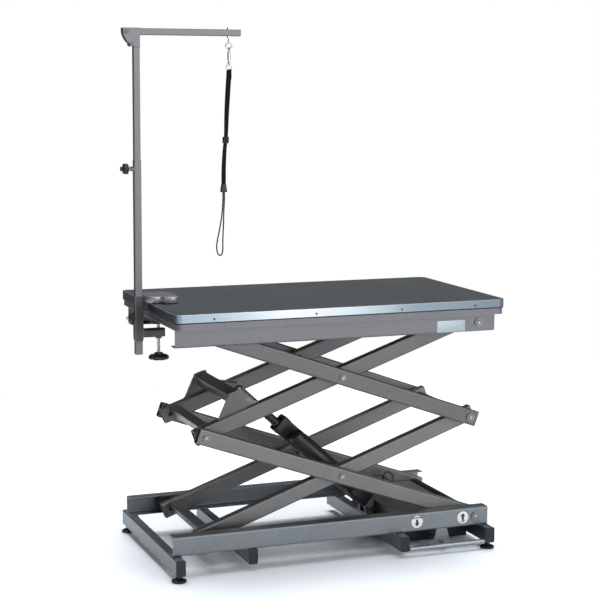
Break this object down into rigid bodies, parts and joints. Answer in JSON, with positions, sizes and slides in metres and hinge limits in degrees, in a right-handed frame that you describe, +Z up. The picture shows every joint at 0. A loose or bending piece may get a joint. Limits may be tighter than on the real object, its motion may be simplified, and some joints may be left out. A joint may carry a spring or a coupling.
{
  "type": "electric grooming table",
  "caption": "Pet grooming table on a double scissor lift with an electric actuator and rocking foot pedal, and a clamped post whose arm carries a noose.",
  "frame": {"origin": "on the floor, under the middle of the whole object's bounding box", "axes": "+X along the table from the grooming arm's end towards the fixed pivots, -Y towards the foot pedal, +Z up"},
  "size_m": [1.179, 0.626, 1.6675],
  "materials": {
    "actuator_case": "fine texture",
    "arm_paint": "grey hammered paint",
    "black_plastic": "matte",
    "board": "plywood, hidden",
    "bright_pin": "bright plated",
    "frame_paint": "grey hammered paint",
    "lead_rubber": "matte",
    "mat_rubber": "fine texture",
    "motor_case": "black paint",
    "pad_rubber": "matte",
    "plated": "nickel plated",
    "rod_steel": "satin",
    "roller_plastic": "matte",
    "trim_aluminium": "satin",
    "webbing": "woven nylon"
  },
  "bodies": {
    "base": {"base_rail_front": "frame_paint", "base_rail_rear": "frame_paint", "cross_tube_left": "frame_paint", "cross_tube_mid_left": "frame_paint", "cross_tube_mid_right": "frame_paint", "cross_tube_right": "frame_paint", "tube_end_caps": "black_plastic", "clevis_pin": "bright_pin", "control_box": "frame_paint", "actuator_clevis": "frame_paint", "motor_cable": "lead_rubber"},
    "foot_front_left": {"foot_front_left": "black_plastic"},
    "foot_front_right": {"foot_front_right": "black_plastic"},
    "foot_rear_left": {"foot_rear_left": "black_plastic"},
    "foot_rear_right": {"foot_rear_right": "black_plastic"},
    "pedal": {"foot_pedal": "frame_paint"},
    "lower_outer_arms": {"lower_outer_arm_front": "arm_paint", "lower_outer_arm_rear": "arm_paint", "lower_outer_pins": "bright_pin"},
    "lower_inner_arms": {"lower_inner_arm_front": "arm_paint", "lower_inner_arm_rear": "arm_paint", "lower_inner_tie": "arm_paint", "lower_inner_pins": "bright_pin"},
    "base_roller_front": {"base_roller_front": "roller_plastic"},
    "base_roller_rear": {"base_roller_rear": "roller_plastic"},
    "upper_outer_arms": {"upper_outer_arm_front": "arm_paint", "upper_outer_arm_rear": "arm_paint", "upper_outer_pins": "bright_pin"},
    "top_roller_front": {"top_roller_front": "roller_plastic"},
    "top_roller_rear": {"top_roller_rear": "roller_plastic"},
    "upper_inner_arms": {"upper_inner_arm_front": "arm_paint", "upper_inner_arm_rear": "arm_paint", "upper_inner_tie": "arm_paint", "actuator_yoke": "arm_paint", "upper_inner_pins": "bright_pin"},
    "table_top": {"top_channel_front": "frame_paint", "top_channel_rear": "frame_paint", "deck_band": "frame_paint", "deck_board": "board", "deck_mat": "mat_rubber", "edge_trim": "trim_aluminium", "clamp_frame": "frame_paint", "clamp_jaw": "frame_paint"},
    "actuator_body": {"actuator_housing": "actuator_case", "actuator_motor": "motor_case"},
    "actuator_rod": {"actuator_rod": "rod_steel"},
    "clamp_foot": {"clamp_foot": "pad_rubber"},
    "clamp_screw": {"clamp_screw": "black_plastic"},
    "sleeve_knob": {"sleeve_knob": "black_plastic"},
    "lower_post": {"lower_post": "frame_paint"},
    "post_knob": {"post_knob": "black_plastic"},
    "upper_post": {"upper_post": "frame_paint", "arm_pins": "bright_pin"},
    "arm": {"arm_tube": "frame_paint", "eyebolt": "plated"},
    "noose": {"snap_hook": "plated", "noose_strap": "webbing", "noose_sliders": "black_plastic", "noose_loop": "webbing"},
    "snap_gate": {"snap_gate": "plated"}
  },
  "joints": [
    {"name": "lift", "type": "hinge", "parent": "base", "child": "lower_outer_arms", "pos_m": [0.5145, 0, 0.102], "axis": [0, 1, 0], "range_deg": [-14.5, 2.5]},
    {"name": "lower_centre", "type": "hinge", "parent": "lower_outer_arms", "child": "lower_inner_arms", "pos_m": [0.06345, 0, 0.26173], "axis": [0, 1, 0], "range_deg": [-5.2, 29.2]},
    {"name": "middle_right", "type": "hinge", "parent": "lower_inner_arms", "child": "upper_outer_arms", "pos_m": [0.5145, 0, 0.42145], "axis": [0, 1, 0], "range_deg": [-29.2, 5.2]},
    {"name": "upper_centre", "type": "hinge", "parent": "upper_outer_arms", "child": "upper_inner_arms", "pos_m": [0.06345, 0, 0.58118], "axis": [0, 1, 0], "range_deg": [-5.2, 29.2]},
    {"name": "top_fixed", "type": "hinge", "parent": "upper_inner_arms", "child": "table_top", "pos_m": [0.5145, 0, 0.74091], "axis": [0, 1, 0], "range_deg": [-14.7, 2.7]},
    {"name": "actuator_base_pin", "type": "hinge", "parent": "base", "child": "actuator_body", "pos_m": [0.2445, 0, 0.108], "axis": [0, 1, 0], "range_deg": [-26.2, 4.7]},
    {"name": "actuator_rod_pin", "type": "hinge", "parent": "upper_inner_arms", "child": "actuator_rod", "pos_m": [-0.21532, 0, 0.52808], "axis": [0, 1, 0], "range_deg": [-40.8, 7.2]},
    {"name": "base_roller_front_spin", "type": "hinge", "parent": "lower_inner_arms", "child": "base_roller_front", "pos_m": [-0.38761, -0.2455, 0.102], "axis": [0, 1, 0], "continuous": true},
    {"name": "base_roller_rear_spin", "type": "hinge", "parent": "lower_inner_arms", "child": "base_roller_rear", "pos_m": [-0.38761, 0.2455, 0.102], "axis": [0, 1, 0], "continuous": true},
    {"name": "top_roller_front_spin", "type": "hinge", "parent": "upper_outer_arms", "child": "top_roller_front", "pos_m": [-0.38761, -0.2435, 0.74091], "axis": [0, 1, 0], "continuous": true},
    {"name": "top_roller_rear_spin", "type": "hinge", "parent": "upper_outer_arms", "child": "top_roller_rear", "pos_m": [-0.38761, 0.2435, 0.74091], "axis": [0, 1, 0], "continuous": true},
    {"name": "pedal_rock", "type": "hinge", "parent": "base", "child": "pedal", "pos_m": [0.3965, 0, 0.028], "axis": [0, 1, 0], "range_deg": [-5, 5], "stiffness_Nm_per_rad": 60},
    {"name": "foot_front_left_turn", "type": "hinge", "parent": "base", "child": "foot_front_left", "pos_m": [-0.4975, -0.29, 0], "axis": [0, 0, 1], "continuous": true},
    {"name": "foot_front_right_turn", "type": "hinge", "parent": "base", "child": "foot_front_right", "pos_m": [0.5485, -0.29, 0], "axis": [0, 0, 1], "continuous": true},
    {"name": "foot_rear_left_turn", "type": "hinge", "parent": "base", "child": "foot_rear_left", "pos_m": [-0.4975, 0.29, 0], "axis": [0, 0, 1], "continuous": true},
    {"name": "foot_rear_right_turn", "type": "hinge", "parent": "base", "child": "foot_rear_right", "pos_m": [0.5485, 0.29, 0], "axis": [0, 0, 1], "continuous": true},
    {"name": "clamp_press", "type": "slide", "parent": "table_top", "child": "clamp_foot", "axis": [0, 0, 1], "range_m": [-0.0121, 0]},
    {"name": "clamp_screw_turn", "type": "hinge", "parent": "clamp_foot", "child": "clamp_screw", "pos_m": [-0.4725, 0, 0.64], "axis": [0, 0, 1], "range_deg": [-2880, 0]},
    {"name": "sleeve_knob_turn", "type": "hinge", "parent": "table_top", "child": "sleeve_knob", "pos_m": [-0.5615, 0, 0.76991], "axis": [1, 0, 0], "continuous": true},
    {"name": "post_slide", "type": "slide", "parent": "table_top", "child": "lower_post", "axis": [0, 0, 1], "range_m": [-0.1, 0.03]},
    {"name": "post_knob_turn", "type": "hinge", "parent": "lower_post", "child": "post_knob", "pos_m": [-0.5675, 0, 1.234], "axis": [1, 0, 0], "continuous": true},
    {"name": "post_extend", "type": "slide", "parent": "lower_post", "child": "upper_post", "axis": [0, 0, 1], "range_m": [-0.12, 0.16]},
    {"name": "arm_fold", "type": "hinge", "parent": "upper_post", "child": "arm", "pos_m": [-0.569, 0, 1.651], "axis": [0, -1, 0], "range_deg": [0, 90]},
    {"name": "noose_swing", "type": "hinge", "parent": "arm", "child": "noose", "pos_m": [-0.2385, 0, 1.61], "axis": [0, 1, 0], "range_deg": [-60, 21]},
    {"name": "snap_gate_slide", "type": "slide", "parent": "noose", "child": "snap_gate", "axis": [0, 0, 1], "range_m": [-0.005, 0], "stiffness_N_per_m": 400}
  ],
  "couplings": [
    {"joint": "lower_centre", "follows": "lift", "ratio": -2},
    {"joint": "middle_right", "follows": "lift", "ratio": 2},
    {"joint": "upper_centre", "follows": "lift", "ratio": -2},
    {"joint": "top_fixed", "follows": "lift", "ratio": 1},
    {"joint": "actuator_base_pin", "follows": "lift", "ratio": 1.79},
    {"joint": "actuator_rod_pin", "follows": "lift", "ratio": 2.79},
    {"joint": "clamp_press", "follows": "clamp_screw_turn", "m_per_rad": 0.00023873}
  ]
}
